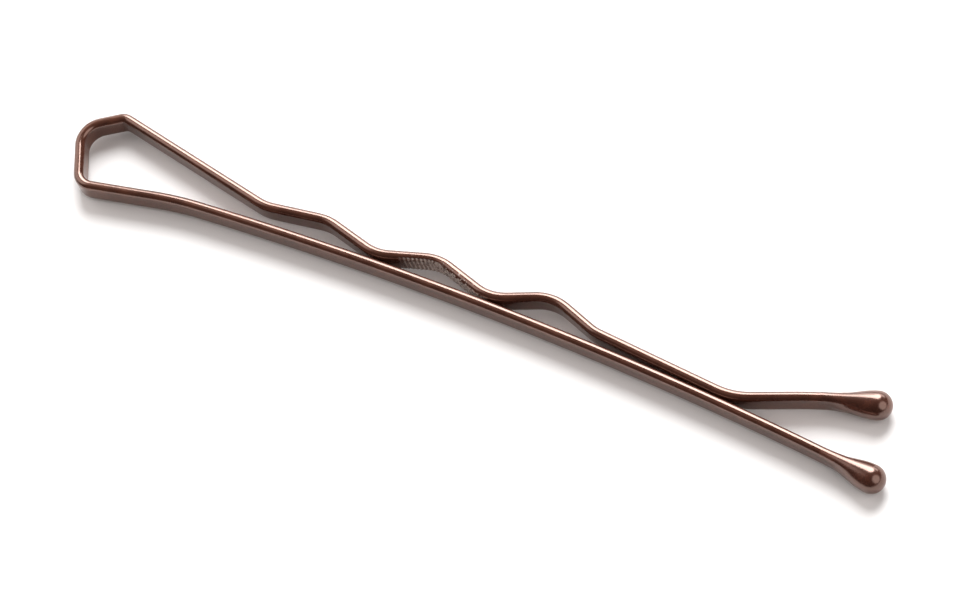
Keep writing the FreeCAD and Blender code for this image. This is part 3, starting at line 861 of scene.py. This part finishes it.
level_right = Vector((math.cos(AZIMUTH), math.sin(AZIMUTH), 0))
away = Vector((-math.sin(AZIMUTH), math.cos(AZIMUTH), 0))
up = Vector((0, 0, 1))
level_up = math.sin(ELEVATION) * away + math.cos(ELEVATION) * up
view_back = math.sin(ELEVATION) * up - math.cos(ELEVATION) * away
camera_right = math.cos(ROLL) * level_right - math.sin(ROLL) * level_up
camera_up = math.sin(ROLL) * level_right + math.cos(ROLL) * level_up
print(f"looking down {math.degrees(ELEVATION):.0f} degrees, tilted by {math.degrees(ROLL):.1f}")

# %% Frame the pin and aim the camera
IMAGE_WIDTH, IMAGE_HEIGHT = 953, 600
CAMERA_DISTANCE = 0.5
SHARE_OF_FRAME = 0.86

shown = [vertex.co for node in frame["nodes"].values() for vertex in node.data.vertices]
sideways = [place.dot(camera_right) for place in shown]
upwards = [place.dot(camera_up) for place in shown]
seen_width = max(sideways) - min(sideways)
seen_height = max(upwards) - min(upwards)
frame_width = max(seen_width, seen_height * IMAGE_WIDTH / IMAGE_HEIGHT) / SHARE_OF_FRAME
aim = (
    (max(sideways) + min(sideways)) / 2 * camera_right
    + (max(upwards) + min(upwards)) / 2 * camera_up
    + MIDDLE_Z * math.sin(ELEVATION) * view_back
)
camera_data = bpy.data.cameras.new("camera")
camera_data.lens = camera_data.sensor_width * CAMERA_DISTANCE / frame_width
camera = bpy.data.objects.new("camera", camera_data)
camera.matrix_world = Matrix.Translation(aim + CAMERA_DISTANCE * view_back) @ (
    Matrix((camera_right, camera_up, view_back)).transposed().to_4x4()
)
bpy.context.scene.collection.objects.link(camera)
bpy.context.scene.camera = camera
print(f"the frame is {frame_width / MM:.1f} mm wide, through a {camera_data.lens:.0f} mm lens")

# %% [markdown]
# ## Floor and light
#
# The pin lies on a plain white table. One large soft light hangs behind it to the right: it draws the
# bright line along the wire's upper edge and lays a soft shadow to the front. A low panel behind widens
# that line, as the pale wall of a studio does, and casts hardly any shadow. Two broad weak lights hang
# beyond the head and the tips. They light the floor in the shadow, which stays a pale grey, but hardly
# the faces of the wire, because they shine along it. The room itself gives very little light, so the
# rounding towards the camera mirrors something dark, and a dark line follows the bright one.

# %% Lay the floor
FLOOR_SIZE = 4
PAPER_WHITE = (0.88, 0.88, 0.88, 1)
PAPER_ROUGHNESS = 0.9
PAPER_SHINE = 0.1

bpy.ops.object.select_all(action="DESELECT")
bpy.ops.mesh.primitive_plane_add(size=FLOOR_SIZE)
floor = bpy.context.object
floor.name = "floor"
paper = bpy.data.materials.new("white_paper")
paper.use_nodes = True
paper_shader = paper.node_tree.nodes["Principled BSDF"]
paper_shader.inputs["Base Color"].default_value = PAPER_WHITE
paper_shader.inputs["Roughness"].default_value = PAPER_ROUGHNESS
paper_shader.inputs["Specular IOR Level"].default_value = PAPER_SHINE
floor.data.materials.append(paper)
print("floor", FLOOR_SIZE, "m wide")

# %% Hang the key light and the low panel
KEY_TO_THE_RIGHT = math.radians(34)
KEY_ELEVATION = math.radians(43.5)
KEY_DISTANCE = 0.6
KEY_SIZE = 0.42
KEY_POWER = 5.8
PANEL_ELEVATION = math.radians(19)
PANEL_DISTANCE = 0.7
PANEL_WIDTH = 1.0
PANEL_HEIGHT = 0.22
PANEL_POWER = 2.7


def hang_light(name, level, elevation, distance, power, width, height=None, colour=(1, 1, 1)):
    """A soft light in a level direction from the pin, raised: a disk, or a panel where it has a height."""
    direction = math.cos(elevation) * level + math.sin(elevation) * up
    lamp = bpy.data.lights.new(name, "AREA")
    lamp.shape = "RECTANGLE" if height else "DISK"
    lamp.size = width
    if height:
        lamp.size_y = height
    lamp.energy = power
    lamp.color = colour
    stand = bpy.data.objects.new(name, lamp)
    stand.location = distance * direction
    stand.rotation_euler = direction.to_track_quat("Z", "Y").to_euler()
    stand.visible_camera = False
    bpy.context.scene.collection.objects.link(stand)


back_right = math.sin(KEY_TO_THE_RIGHT) * level_right + math.cos(KEY_TO_THE_RIGHT) * away
hang_light("key_light", back_right, KEY_ELEVATION, KEY_DISTANCE, KEY_POWER, KEY_SIZE)
hang_light(
    "back_panel", back_right, PANEL_ELEVATION, PANEL_DISTANCE, PANEL_POWER, PANEL_WIDTH, PANEL_HEIGHT
)
print("key light", KEY_POWER, "W, back panel", PANEL_POWER, "W")

# %% Hang the two fill lights
FILL_ELEVATION = math.radians(35)
FILL_DISTANCE = 0.7
FILL_SIZE = 0.8
FILL_POWER = 3.2
WARM_WHITE = (1, 0.93, 0.9)

for name, past_the_end in (("head_fill", -1), ("tip_fill", 1)):
    beyond = Vector((past_the_end, 0, 0))
    hang_light(name, beyond, FILL_ELEVATION, FILL_DISTANCE, FILL_POWER, FILL_SIZE, colour=WARM_WHITE)
print("two fill lights", FILL_POWER, "W each")

# %% Set the room's light
ROOM_LIGHT = 0.05

room = bpy.data.worlds.new("room")
room.use_nodes = True
room_light = room.node_tree.nodes["Background"]
room_light.inputs["Color"].default_value = (*WARM_WHITE, 1)
room_light.inputs["Strength"].default_value = ROOM_LIGHT
bpy.context.scene.world = room
bpy.context.scene.view_settings.view_transform = "Standard"
print("the room's light is", ROOM_LIGHT)
